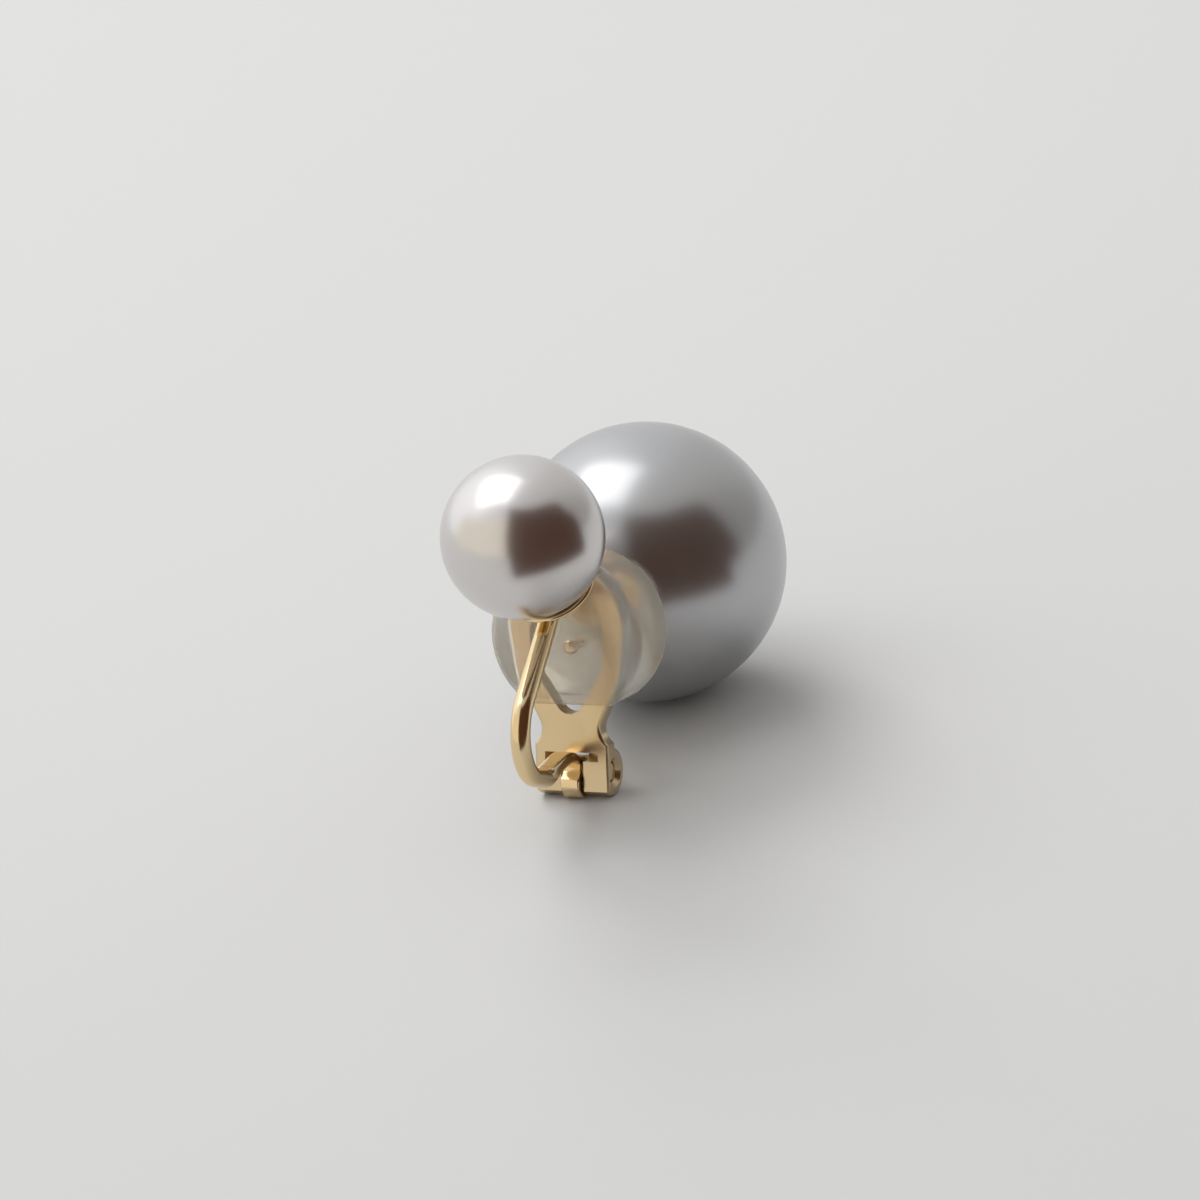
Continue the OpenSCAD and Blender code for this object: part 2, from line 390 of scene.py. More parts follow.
def heading(degrees: float) -> Vector:
    """Unit vector along a heading in side view, as (ahead, up)."""
    return Vector((math.cos(math.radians(degrees)), math.sin(math.radians(degrees))))


def seen_from_side(x: float, place: Vector | Point) -> Vector:
    """Turn a side-view place (ahead, up) at some x into the clip's frame."""
    return Vector((x, -place[0], place[1]))


def aimed(centre: Vector, direction: Vector) -> Matrix:
    """Matrix that carries +Z at the origin to a direction at a centre."""
    return Matrix.Translation(centre) @ direction.to_track_quat("Z", "Y").to_matrix().to_4x4()


# Finishes


class Recipe:
    """A node material while it is being mixed."""

    def __init__(self, name: str) -> None:
        """Start with the plain shader.

        Args:
            name: Name of the material.
        """
        self.material = bpy.data.materials.new(name)
        self.material.use_nodes = True
        self.nodes = self.material.node_tree.nodes
        self.shader = self.nodes["Principled BSDF"]

    def link(self, source: bpy.types.NodeSocket, target: bpy.types.NodeSocket) -> None:
        """Join an output to an input."""
        self.material.node_tree.links.new(source, target)

    def set(self, levels: dict[str, float | tuple[float, ...]]) -> None:
        """Set sockets of the shader to levels that are the same all over."""
        for socket, level in levels.items():
            self.shader.inputs[socket].default_value = level

    def clouds(self, scale: float, detail: float) -> bpy.types.NodeSocket:
        """Add soft clouds that stay with the piece.

        Args:
            scale: Clouds to the metre.
            detail: Number of finer layers.

        Returns:
            The socket of their level, from 0 to 1.
        """
        place = self.nodes.new("ShaderNodeTexCoord")
        noise = self.nodes.new("ShaderNodeTexNoise")
        noise.inputs["Scale"].default_value = scale
        noise.inputs["Detail"].default_value = detail
        self.link(place.outputs["Object"], noise.inputs["Vector"])
        return noise.outputs["Fac"]

    def vary_tint(self, share: bpy.types.NodeSocket, first: Color, second: Color) -> None:
        """Mix the colour from two tints.

        Args:
            share: Socket of the second tint's share.
            first: The first tint.
            second: The second tint.
        """
        mix = self.nodes.new("ShaderNodeMix")
        mix.data_type = "RGBA"
        mix.inputs["A"].default_value = (*first, 1)
        mix.inputs["B"].default_value = (*second, 1)
        self.link(share, mix.inputs["Factor"])
        self.link(mix.outputs["Result"], self.shader.inputs["Base Color"])

    def vary_roughness(self, share: bpy.types.NodeSocket, least: float, most: float) -> None:
        """Spread the roughness between two levels.

        Args:
            share: Socket of the way from the least to the most.
            least: The least roughness.
            most: The most roughness.
        """
        spread = self.nodes.new("ShaderNodeMapRange")
        spread.inputs["To Min"].default_value = least
        spread.inputs["To Max"].default_value = most
        self.link(share, spread.inputs["Value"])
        self.link(spread.outputs["Result"], self.shader.inputs["Roughness"])

    def emboss(self, height: bpy.types.NodeSocket, strength: float, depth: float) -> None:
        """Give the surface a slight relief.

        Args:
            height: Socket of the relief's height, from 0 to 1.
            strength: How strongly the relief shows.
            depth: Its depth in millimetres.
        """
        bump = self.nodes.new("ShaderNodeBump")
        bump.inputs["Strength"].default_value = strength
        bump.inputs["Distance"].default_value = depth * MM
        self.link(height, bump.inputs["Height"])
        self.link(bump.outputs["Normal"], self.shader.inputs["Normal"])


@dataclass(frozen=True)
class Finish(ABC):
    """What a piece is dressed in."""

    name: str

    @abstractmethod
    def mix(self, recipe: Recipe) -> None:
        """Add what makes this finish to the plain shader."""

    def material(self) -> bpy.types.Material:
        """Mix the finish.

        Returns:
            The node material.
        """
        recipe = Recipe(self.name)
        self.mix(recipe)
        return recipe.material


@dataclass(frozen=True)
class GoldFinish(Finish):
    """Polished gold plate with a soft hand-polished variation."""

    tint: Color
    roughness: float
    swirl: float = 900.0
    smoother: float = 0.8
    rougher: float = 1.25
    deeper: float = 0.93

    def mix(self, recipe: Recipe) -> None:
        """Lay the gold's swirls into tint, polish and relief."""
        recipe.set({"Metallic": 1.0})
        swirls = recipe.clouds(self.swirl, detail=4.0)
        recipe.vary_roughness(swirls, self.roughness * self.smoother, self.roughness * self.rougher)
        recipe.vary_tint(swirls, self.tint, tuple(level * self.deeper for level in self.tint))
        recipe.emboss(swirls, strength=0.04, depth=0.01)


@dataclass(frozen=True)
class PearlFinish(Finish):
    """Nacre: a satin metallic body under a thin clear lustre."""

    body: Color
    blush: Color
    roughness: float
    metallic: float
    coat: float

    def mix(self, recipe: Recipe) -> None:
        """Lay the nacre's grain under its lustre."""
        recipe.set({
            "Metallic": self.metallic,
            "Roughness": self.roughness,
            "Coat Weight": self.coat,
            "Coat Roughness": 0.12,
            "Coat IOR": 1.5,
        })
        recipe.vary_tint(recipe.clouds(scale=220.0, detail=2.0), self.body, self.blush)
        recipe.emboss(recipe.clouds(scale=2600.0, detail=3.0), strength=0.05, depth=0.01)


@dataclass(frozen=True)
class SiliconeFinish(Finish):
    """Milky clear silicone."""

    name: str = "milky_silicone"
    tint: Color = (1.0, 0.95, 0.86)
    clearness: float = 0.85
    refraction: float = 1.15
    scatter: Color = (1.0, 0.85, 0.7)
    scatter_depth: float = 3 * MM
    roughness: float = 0.1
    smoother: float = 0.9
    rougher: float = 1.2

    def mix(self, recipe: Recipe) -> None:
        """Cloud the silicone."""
        recipe.set({
            "Base Color": (*self.tint, 1),
            "Transmission Weight": self.clearness,
            "IOR": self.refraction,
            "Subsurface Weight": 1.0,
            "Subsurface Radius": self.scatter,
            "Subsurface Scale": self.scatter_depth,
        })
        haze = recipe.clouds(scale=500.0, detail=2.0)
        recipe.vary_roughness(haze, self.roughness * self.smoother, self.roughness * self.rougher)


@dataclass(frozen=True)
class PaperFinish(Finish):
    """Plain pale paper under the earring."""

    name: str = "pale_paper"
    tint: Color = (0.57, 0.567, 0.562)
    roughness: float = 0.9
    sheen: float = 0.15

    def mix(self, recipe: Recipe) -> None:
        """Give the paper its fibre."""
        recipe.set({
            "Base Color": (*self.tint, 1),
            "Roughness": self.roughness,
            "Specular IOR Level": self.sheen,
        })
        recipe.emboss(recipe.clouds(scale=700.0, detail=4.0), strength=0.08, depth=0.05)


@dataclass(frozen=True)
class CardFinish(Finish):
    """Even glow of a card that the earring reflects."""

    glow: Color

    def mix(self, recipe: Recipe) -> None:
        """Let the card glow evenly."""
        glow = recipe.nodes.new("ShaderNodeEmission")
        glow.inputs["Color"].default_value = (*self.glow, 1)
        recipe.link(glow.outputs["Emission"], recipe.nodes["Material Output"].inputs["Surface"])
        recipe.nodes.remove(recipe.shader)


def dress(piece: bpy.types.Object, material: bpy.types.Material) -> None:
    """Give a piece its one material."""
    piece.data.materials.clear()
    piece.data.materials.append(material)


# Frame


@dataclass(frozen=True)
class ClipFrame:
    """Where the leaning clip stands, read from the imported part."""

    pin: Vector
    lean: float

    @classmethod
    def from_part(cls, part: dict) -> "ClipFrame":
        """Read the hinge pin's place and the clip's lean.


        Returns:
            The clip's frame.
        """
        hinge = part["joints"][0]
        facing = Vector(part["record"]["mounts"][0]["axis"])
        return cls(Vector(hinge["pos_m"]), math.atan2(facing.z, -facing.y))

    def matrix(self) -> Matrix:
        """Matrix from the clip's frame in millimetres to the part's frame in metres."""
        return Matrix.Translation(self.pin) @ Matrix.Rotation(-self.lean, 4, "X") @ Matrix.Scale(MM, 4)

    def middle(self, node: str) -> Vector:
        """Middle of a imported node's box, in the clip's frame."""
        low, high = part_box(node)
        return self.matrix().inverted() @ ((low + high) / 2)


@dataclass
class SubAssembly:
    """What every piece of the earring needs: the clip's frame and a way to set pieces down."""

    frame: ClipFrame
    made: list[bpy.types.Object] = field(default_factory=list, init=False)

    def set_down(
        self, piece: bpy.types.Object, body: Body, node: str, slot: str, material: bpy.types.Material
    ) -> None:
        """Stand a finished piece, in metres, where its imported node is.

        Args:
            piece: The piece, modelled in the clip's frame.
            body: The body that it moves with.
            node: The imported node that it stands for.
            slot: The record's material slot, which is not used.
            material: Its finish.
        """
        settle(piece, self.frame.matrix())
        dress(piece, material)
        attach(piece, body.value)
        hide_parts(node)
        self.made.append(piece)


def cup_profile(pearl_r: float, bowl_r: float, rim_r: float, play: float, wall: float) -> list[Point]:
    """Half section of a dish with a round lip that touches a pearl on +Z.

    Args:
        pearl_r: Radius of the pearl, whose centre is the origin.
        bowl_r: Radius of the bowl's curve.
        rim_r: Radius of the rim.
        play: Air between pearl and bowl on the axis.
        wall: Wall of the dish.

    Returns:
        A closed loop of points (radius, height) from the axis.
    """
    middle = (0, pearl_r + play - bowl_r)
    lip = wall / 2
    rim = 90 - math.degrees(math.asin((rim_r - lip) / (bowl_r + lip)))
    lip_centre = arc(middle, bowl_r + lip, rim, rim, steps=1)[0]
    outer = arc(middle, bowl_r + wall, 90, rim, steps=20)
    round_lip = arc(lip_centre, lip, rim, rim - 180, steps=8)
    return outer + round_lip[1:-1] + arc(middle, bowl_r, rim, 90, steps=20)


# Pieces


@dataclass
class Pearl(SubAssembly):
    """A pearl drilled half through from the side of its cup."""

    node: str
    slot: str
    body: Body
    towards_cup: Vector
    finish: PearlFinish
    hole_r: float = 0.43
    drill_depth: float = 2.8
    mouth: float = 0.08

    def build(self) -> None:
        """Turn the drilled pearl and set it on its peg."""
        low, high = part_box(self.node)
        radius = (high.x - low.x) / 2 / MM
        centre = self.frame.middle(self.node)
        floor_up = radius - self.drill_depth
        rim = math.degrees(math.acos((self.hole_r + self.mouth) / radius))
        mouth_up = math.sqrt(radius**2 - self.hole_r**2) - self.mouth
        profile = [(0, floor_up), (self.hole_r, floor_up), (self.hole_r, mouth_up)]
        profile += arc((0, 0), radius, rim, -90, steps=72)
        pearl = turned(f"{self.node}_skin", profile)
        settle(pearl, aimed(centre, self.towards_cup))
        smooth(pearl, below=30)
        self.set_down(pearl, self.body, self.node, self.slot, self.finish.material())


class Bend(NamedTuple):
    """A bend of the wire in side view, its turn in degrees, positive up and back."""

    radius: float
    turn: float


@dataclass(frozen=True)
class Section:
    """One cross section of the arm in side view. Squareness 1 is round, and 0 would be square."""

    place: Vector
    along: float
    half_thick: float
    half_wide: float
    squareness: float = 1.0

    def ring(self, sides: int = 48) -> list[Vector]:
        """Points round the section.

        Args:
            sides: Number of points.

        Returns:
            The points in the clip's frame.
        """
        points = []
        for side in range(sides):
            angle = math.tau * (side + 0.5) / sides
            out, across = (
                math.copysign(abs(value) ** self.squareness, value)
                for value in (math.cos(angle), math.sin(angle))
            )
            place = self.place + heading(self.along + 90) * self.half_thick * out
            points.append(seen_from_side(self.half_wide * across, place))
        return points


@dataclass
class WireArm(SubAssembly):
    """Gold wire arm: eye and cam lug, flattened tongue, bent round wire and the front pearl's dish.

    Places are side views (ahead, up) from the hinge pin, and angles are in degrees.
    """

    finish: GoldFinish
    wire_r: float = 0.49
    # Places along the tongue's middle, each with half its thickness there
    tongue: tuple[tuple[float, float, float], ...] = (
        (0.45, 0.54, 0.18), (0.95, 0.75, 0.23), (1.35, 0.9, 0.28), (1.75, 0.98, 0.31),
        (2.15, 0.98, 0.32), (2.7, 0.9, 0.32), (3.3, 0.78, 0.34), (3.8, 0.62, 0.41),
    )
    tongue_squareness: float = 0.4
    toe_start: Point = (4.2, 0.48)
    toe_rise: float = 12.5
    toe_len: float = 1.16
    toe_bend: Bend = Bend(radius=1.87, turn=37.5)
    front_bend: Bend = Bend(radius=2.49, turn=85)
    slope_len: float = 4.15
    neck_bend: Bend = Bend(radius=1.8, turn=-40)
    neck_len: float = 0.88
    foot_half_thick: float = 0.95
    foot_half_wide: float = 0.72
    bend_step: float = 4
    fewest_steps: int = 6
    eye_half: float = 0.5
    eye_r: float = 0.8
    eye_round: Point = (8, 246)
    eye_edge_r: float = 0.1
    bore_r: float = 0.55
    # Corners of the cam lug, from the eye's underside round its front
    lug: tuple[Point, ...] = (
        (-0.1, -1.15), (0.5, -1.29), (0.85, -1.12), (1.2, -0.7), (1.2, -0.3), (1.12, -0.16),
    )
    pearl_r: float = 4.0
    bowl_r: float = 16.0
    cup_rim_r: float = 2.35
    cup_drop: float = 42
    cup_wall: float = 0.25
    play: float = 0.03
    peg_r: float = 0.4
    peg_in: float = 2.6

    def tongue_sections(self, toe_end: Vector) -> list[Section]:
        """Sections of the flattened tongue and of the straight toe that it grows from.

        Args:
            toe_end: Place where the toe ends.

        Returns:
            The sections from the eye to just before the toe's end.
        """
        rows = [(*row, self.eye_half, self.tongue_squareness) for row in self.tongue]
        rows += [(*place, self.wire_r, self.wire_r, 1.0) for place in (self.toe_start, toe_end)]
        rows = eased(rows, steps=5)
        sections = []
        for before, row, after in zip([rows[0], *rows], rows, rows[1:]):
            run = Vector(after[:2]) - Vector(before[:2])
            along = math.degrees(math.atan2(run.y, run.x))
            sections.append(Section(Vector(row[:2]), along, *row[2:4], min(row[4], 1.0)))
        return sections

    def bend_sections(self, start: Section, bend: Bend) -> list[Section]:
        """Sections round a bend.

        Args:
            start: Section where the bend starts.
            bend: The bend.

        Returns:
            The bend's sections after its start.
        """
        side = math.copysign(bend.radius, bend.turn)
        centre = start.place + heading(start.along + 90) * side
        steps = max(self.fewest_steps, round(abs(bend.turn) / self.bend_step))
        sections = []
        for step in range(1, steps + 1):
            along = start.along + bend.turn * step / steps
            place = centre - heading(along + 90) * side
            sections.append(Section(place, along, self.wire_r, self.wire_r))
        return sections

    def neck_sections(self, start: Section, steps: int = 8) -> list[Section]:
        """Sections of the neck, which flares and turns into the plane of the dish's wall.

        Args:
            start: Section where the neck starts.
            steps: Number of sections after it.

        Returns:
            The neck's sections after its start.
        """
        sections = []
        for step in range(1, steps + 1):
            way = step / steps
            late = way**2
            place = start.place + heading(start.along) * self.neck_len * way
            along = start.along + (self.cup_drop - start.along) * late
            thick = self.wire_r + (self.foot_half_thick - self.wire_r) * late
            wide = self.wire_r + (self.foot_half_wide - self.wire_r) * late
            sections.append(Section(place, along, thick, wide))
        return sections

    def wire(self) -> bpy.types.Object:
        """Flatten and bend the wire from the hinge up to the dish.

        Returns:
            The closed wire.
        """
        toe_end = Vector(self.toe_start) + heading(self.toe_rise) * self.toe_len
        sections = self.tongue_sections(toe_end)
        sections.append(Section(toe_end, self.toe_rise, self.wire_r, self.wire_r))
        sections += self.bend_sections(sections[-1], self.toe_bend)
        sections += self.bend_sections(sections[-1], self.front_bend)
        start = sections[-1]
        for way in (0.25, 0.5, 0.75, 1.0):
            place = start.place + heading(start.along) * self.slope_len * way
            sections.append(Section(place, start.along, self.wire_r, self.wire_r))
        sections += self.bend_sections(sections[-1], self.neck_bend)
        sections += self.neck_sections(sections[-1])
        return lofted("wire", [section.ring() for section in sections])

    def hinge_end(self) -> bpy.types.Object:
        """Cut the eye with its cam lug from thick sheet.

        Returns:
            The closed hinge end.
        """
        outline = [*arc((0, 0), self.eye_r, *self.eye_round, steps=48), *self.lug]
        points = [seen_from_side(-self.eye_half, place) for place in outline]
        end = slab("hinge_end", points, Vector((2 * self.eye_half, 0, 0)))
        round_edges(end, self.eye_edge_r, steps=3, above=20)
        reach = 2 * self.eye_half
        bore = rod("bore", self.bore_r, -reach, reach, steps=48)
        settle(bore, aimed(Vector(), Vector((1, 0, 0))))
        combine(end, bore, Join.CUT_OUT)
        return end

    def towards_dish(self) -> Vector:
        """Direction from the front pearl to its dish."""
        drop = math.radians(self.cup_drop)
        return Vector((0, math.cos(drop), -math.sin(drop)))

    def dish(self) -> bpy.types.Object:
        """Turn the dish and its peg, and aim them at the front pearl.

        Returns:
            The closed dish with its peg.
        """
        profile = cup_profile(self.pearl_r, self.bowl_r, self.cup_rim_r, self.play, self.cup_wall)
        dish = turned("front_dish", profile, steps=128)
        foot = self.pearl_r - self.peg_in
        top = self.pearl_r + self.play + self.cup_wall / 2
        peg = rod("front_peg", self.peg_r, foot, top, steps=32)
        combine(dish, peg, Join.WELD_ON)
        settle(dish, aimed(self.frame.middle("front_pearl"), self.towards_dish()))
        return dish

    def build(self) -> None:
        """Weld wire, hinge end and dish into one arm."""
        arm = self.hinge_end()
        arm.name = "wire_arm"
        combine(arm, self.wire(), Join.WELD_ON)
        combine(arm, self.dish(), Join.WELD_ON)
        smooth(arm)
        self.set_down(arm, Body.FRONT, "arm", "gold_wire", self.finish.material())


class Round(NamedTuple):
    """A round stretch of the sheet's outline, centred on the middle line."""

    radius: float
    up: float


@dataclass
class Paddle(SubAssembly):
    """Gold sheet ring with its stem, hinge knuckles, and the post and cup of the back pearl.

    Heights and depths are counted from the hinge pin's axis, and a half width from the middle.
    """

    finish: GoldFinish
    front: float = 0.77
    thickness: float = 0.95
    # The ring is a large round above a smaller one, with straight sides between them
    ring_top: Round = Round(radius=3.0, up=7.33)
    ring_low: Round = Round(radius=2.75, up=5.5)
    waist_half: float = 1.56
    waist_up: float = 2.2
    hollow_r: float = 0.9
    hinge_half: float = 1.95
    knuckle_r: float = 1.17
    gap_half: float = 0.6
    bore_r: float = 0.53
    mouth: float = 0.22
    funnel_room: float = 0.1
    window_half: float = 1.4
    window_low: float = 0.62
    window_top: float = 1.06
    through: float = 2.0
    # The ring's hole narrows from its full sides down to a small round foot
    hole_half: float = 1.93
    hole_side_up: float = 5.9
    hole_foot: Round = Round(radius=0.72, up=3.67)
    hole_corner_r: float = 0.85
    hole_top: float = 7.95
    pearl_r: float = 7.0
    cup_rim_r: float = 1.94
    cup_wall: float = 0.25
    play: float = 0.03
    peg_r: float = 0.4
    peg_in: float = 2.6
    post_r: float = 0.5
    # Roundings of the sheet's own edges, and of the edges that the cuts leave
    edge_r: float = 0.17
    edge_steps: int = 4
    cut_edge_r: float = 0.05

    def half_outline(self, grow: float = 0.0) -> list[Point]:
        """Right half of the outline of ring, stem and hinge strips.

        Args:
            grow: How much larger it is made all round.

        Returns:
            The outline's points (x, up), from the hinge to the ring's top.
        """
        (top_r, top_up), (low_r, low_up) = self.ring_top, self.ring_low
        drop = low_up - self.waist_up
        hollow_x = self.waist_half + self.hollow_r
        reach = math.acos((self.hollow_r + low_r) / math.hypot(hollow_x, drop))
        join = math.degrees(math.atan2(drop, hollow_x) - reach)
        inner_r = self.hollow_r - grow
        side = math.degrees(math.asin((top_r - low_r) / (top_up - low_up)))
        start = 180 + math.degrees(math.acos((hollow_x - self.hinge_half - grow) / inner_r))
        stem = arc((hollow_x, self.waist_up), inner_r, start, 180 - join, steps=24)
        low = arc((0, low_up), low_r + grow, -join, -side, steps=16)
        top = arc((0, top_up), top_r + grow, -side, 90, steps=36)
        return [(self.hinge_half + grow, 0), *stem, *low, *top[1:]]

    @staticmethod
    def mirrored(half: list[Point]) -> list[Point]:
        """Join a right half outline to its mirror image."""
        return half + [(-x, z) for x, z in reversed(half) if x > WELD]

    def hole_outline(self) -> list[Point]:
        """Outline of the ring's hole: a narrow round foot, full sides and a flat top with round corners.

        Returns:
            The outline's points (x, up).
        """
        foot_r, foot_up = self.hole_foot
        taper = math.degrees(math.asin((self.hole_half - foot_r) / (self.hole_side_up - foot_up)))
        corner = (self.hole_half - self.hole_corner_r, self.hole_top - self.hole_corner_r)
        half = arc((0, foot_up), foot_r, -90, -taper, steps=20)
        half += arc((0, self.hole_side_up), self.hole_half, -taper, 0, steps=10)
        half += arc(corner, self.hole_corner_r, 0, 90, steps=16)[1:]
        return self.mirrored(half)

    def sheet(self, name: str, outline: list[Point], ahead: float, behind: float) -> bpy.types.Object:
        """Extrude a front-view outline between two depths.

        Args:
            name: Name of the new piece.
            outline: The outline's points (x, up).
            ahead: How far the piece reaches ahead of the pin's axis.
            behind: How far it reaches behind the axis.

        Returns:
            The closed solid.
        """
        points = [Vector((x, -ahead, z)) for x, z in outline]
        return slab(name, points, Vector((0, ahead + behind, 0)))

    def rounding(self) -> list[Point]:
        """Steps of the rounding at an edge.

        Returns:
            For each step, how far it lies in from the face and how far in from the side.
        """
        turns = [math.radians(90 * step / self.edge_steps) for step in range(self.edge_steps + 1)]
        return [(self.edge_r * (1 - math.cos(a)), self.edge_r * (1 - math.sin(a))) for a in turns]

    def ring_and_stem(self) -> bpy.types.Object:
        """Bridge the sheet's outline from back to front, drawn in at both faces.

        Returns:
            The closed sheet, not yet pierced.
        """
        places = [(self.thickness - self.front - deep, inset) for deep, inset in self.rounding()]
        places += [(deep - self.front, inset) for deep, inset in reversed(self.rounding())]
        rings = [
            [Vector((x, y, z)) for x, z in self.mirrored(self.half_outline(-inset))]
            for y, inset in places
        ]
        return lofted("paddle_plate", rings)

    def knuckle(self, side: int) -> bpy.types.Object:
        """Bridge one knuckle, flat in front where it runs on from the sheet, with a rounded end.

        Args:
            side: 1 for the right knuckle and -1 for the left one.

        Returns:
            The closed knuckle, not yet bored.
        """
        places = [(self.gap_half, 0.0)]
        places += [(self.hinge_half - deep, inset) for deep, inset in reversed(self.rounding())]
        rings = []
        for x, inset in places:
            radius = self.knuckle_r - inset
            flat = math.degrees(math.acos((self.front - inset) / radius))
            section = arc((0, 0), radius, flat - 180, 180 - flat, steps=48)
            rings.append([Vector((side * x, y, z)) for y, z in section])
        return lofted("knuckle", rings)

    def bore(self) -> bpy.types.Object:
        """Turn the cutter of the pin's bore, with a funnel at each end.

        Returns:
            The closed cutter.
        """
        end, reach = self.hinge_half, self.hinge_half + self.funnel_room
        wide = self.bore_r + self.mouth
        half = [(wide + self.funnel_room, reach), (wide, end), (self.bore_r, end - self.mouth)]
        profile = [(0, reach), *half, *((r, -z) for r, z in reversed(half)), (0, -reach)]
        cutter = turned("bore", profile, steps=64)
        settle(cutter, aimed(Vector(), Vector((1, 0, 0))))
        return cutter

    def plate(self) -> bpy.types.Object:
        """Weld ring, stem and knuckles together, and cut hole, window, slot and bore.

        Returns:
            The closed plate.
        """
        plate = self.ring_and_stem()
        for side in (1, -1):
            combine(plate, self.knuckle(side), Join.WELD_ON)
        hole = self.sheet("hole", self.hole_outline(), self.through, self.through)
        combine(plate, hole, Join.CUT_OUT)
        half, gap, deep, top = self.window_half, self.gap_half, self.through, self.window_top
        window = box("window", Vector((-half, -deep, self.window_low)), Vector((half, 0, top)))
        combine(plate, window, Join.CUT_OUT)
        slot = box("slot", Vector((-gap, -deep, -deep)), Vector((gap, deep, top)))
        combine(plate, slot, Join.CUT_OUT)
        combine(plate, self.bore(), Join.CUT_OUT)
        round_edges(plate, self.cut_edge_r, steps=2, above=40, clamped=True)
        return plate

    def post(self) -> bpy.types.Object:
        """Turn the post, the back pearl's cup and its peg, and aim them forwards.

        Returns:
            The three as one closed solid.
        """
        centre = self.frame.middle("back_pearl")
        bowl_r = self.pearl_r + self.play
        profile = cup_profile(self.pearl_r, bowl_r, self.cup_rim_r, self.play, self.cup_wall)
        cup = turned("back_cup", profile)
        foot = self.pearl_r - self.peg_in
        middle = self.pearl_r + self.play + self.cup_wall / 2
        plate_at = centre.y - (self.thickness - self.front) / 2
        profile = [(0, foot), (self.peg_r, foot), (self.peg_r, middle)]
        profile += [(self.post_r, middle), (self.post_r, plate_at), (0, plate_at)]
        combine(cup, turned("back_post", profile, steps=48), Join.WELD_ON)
        settle(cup, aimed(centre, Vector((0, -1, 0))))
        return cup

    def build(self) -> None:
        """Weld plate and post into one paddle."""
        paddle = self.plate()
        paddle.name = "ring_paddle"
        combine(paddle, self.post(), Join.WELD_ON)
        smooth(paddle)
        self.set_down(paddle, Body.BACK, "paddle", "gold_sheet", self.finish.material())


@dataclass
class HingePin(SubAssembly):
    """Plain pin with softly domed ends."""

    finish: GoldFinish
    radius: float = 0.5
    half: float = 1.73
    bevel: float = 0.12

    def build(self) -> None:
        """Turn the pin and lay it across the hinge."""
        inside = self.half - self.bevel
        end = arc((self.radius - self.bevel, inside), self.bevel, 90, 0, steps=6)
        profile = [(0, self.half), *end, *((r, -z) for r, z in reversed(end)), (0, -self.half)]
        pin = turned("hinge_rod", profile, steps=64)
        settle(pin, aimed(Vector(), Vector((1, 0, 0))))
        smooth(pin)
        self.set_down(pin, Body.BACK, "hinge_pin", "gold_pin", self.finish.material())


@dataclass
class PadStud(SubAssembly):
    """Small round-headed stud that shows through the pad."""

    finish: GoldFinish
    up: float = 6.2
    ball_r: float = 0.37
    shank_r: float = 0.24
    front: float = 0.62
    tail: float = 1.1

    def build(self) -> None:
        """Turn the stud and set it in the ring's hole."""
        ball_up = self.front - self.ball_r
        neck = -math.degrees(math.acos(self.shank_r / self.ball_r))
        profile = arc((0, ball_up), self.ball_r, 90, neck, steps=20)
        profile += [(self.shank_r, -self.tail), (0, -self.tail)]
        stud = turned("round_stud", profile, steps=48)
        settle(stud, aimed(Vector((0, 0, self.up)), Vector((0, -1, 0))))
        smooth(stud)
        self.set_down(stud, Body.BACK, "pad_stud", "gold_pin", self.finish.material())


@dataclass
class ComfortPad(SubAssembly):
    """Milky silicone pad with a pocket for the paddle's ring."""

    finish: SiliconeFinish
    paddle: Paddle
    radius: float = 4.0
    up: float = 6.8
    front: float = 1.03
    back: float = 2.66
    mouth_up: float = 3.4
    rounding: float = 0.4
    pocket_play: float = 0.04
    cup_room_r: float = 2.23
    cup_room_depth: float = 0.25
    post_room_r: float = 0.55
    stud_up: float = 6.2
    stud_room_r: float = 0.26
    stud_room_depth: float = 1.12

    def body(self) -> bpy.types.Object:
        """Extrude the round pad, cut it off at the mouth and round its rims.

        Returns:
            The closed pad, not yet hollowed.
        """
        circle = arc((0, self.up), self.radius, 0, 360, steps=144)[:-1]
        outline = [Vector((x, -self.front, z)) for x, z in circle]
        pad = slab("silicone_pad", outline, Vector((0, self.front + self.back, 0)))
        open_all(pad)
        cut_at = (0, 0, self.mouth_up)
        bpy.ops.mesh.bisect(
            plane_co=cut_at, plane_no=(0, 0, 1), use_fill=True, clear_inner=True, threshold=WELD
        )
        close_up(pad)
        round_edges(pad, self.rounding, steps=6, above=30)
        return pad

    def pocket(self) -> bpy.types.Object:
        """Cutter of the pocket that the paddle's ring slips into.

        Returns:
            The ring's shape with play all round.
        """
        outline = self.paddle.mirrored(self.paddle.half_outline(self.pocket_play))
        ahead = self.paddle.front + self.pocket_play
        behind = self.paddle.thickness - self.paddle.front + self.pocket_play
        return self.paddle.sheet("pocket", outline, ahead, behind)

    def build(self) -> None:
        """Mould the pad round the ring, with room for the cup, the post and the stud."""
        pad = self.body()
        combine(pad, self.pocket(), Join.CUT_OUT)
        pearl_up = self.frame.middle("back_pearl").z
        behind = 2 * self.back
        rooms = (
            (pearl_up, self.cup_room_r, self.back - self.cup_room_depth, behind),
            (pearl_up, self.post_room_r, 0, behind),
            (self.stud_up, self.stud_room_r, 0, self.stud_room_depth),
        )
        for up, radius, start, end in rooms:
            room = rod("room", radius, start, end, steps=96)
            settle(room, aimed(Vector((0, 0, up)), Vector((0, 1, 0))))
            combine(pad, room, Join.CUT_OUT)
        smooth(pad)
        self.set_down(pad, Body.BACK, "comfort_pad", "silicone", self.finish.material())


# Studio


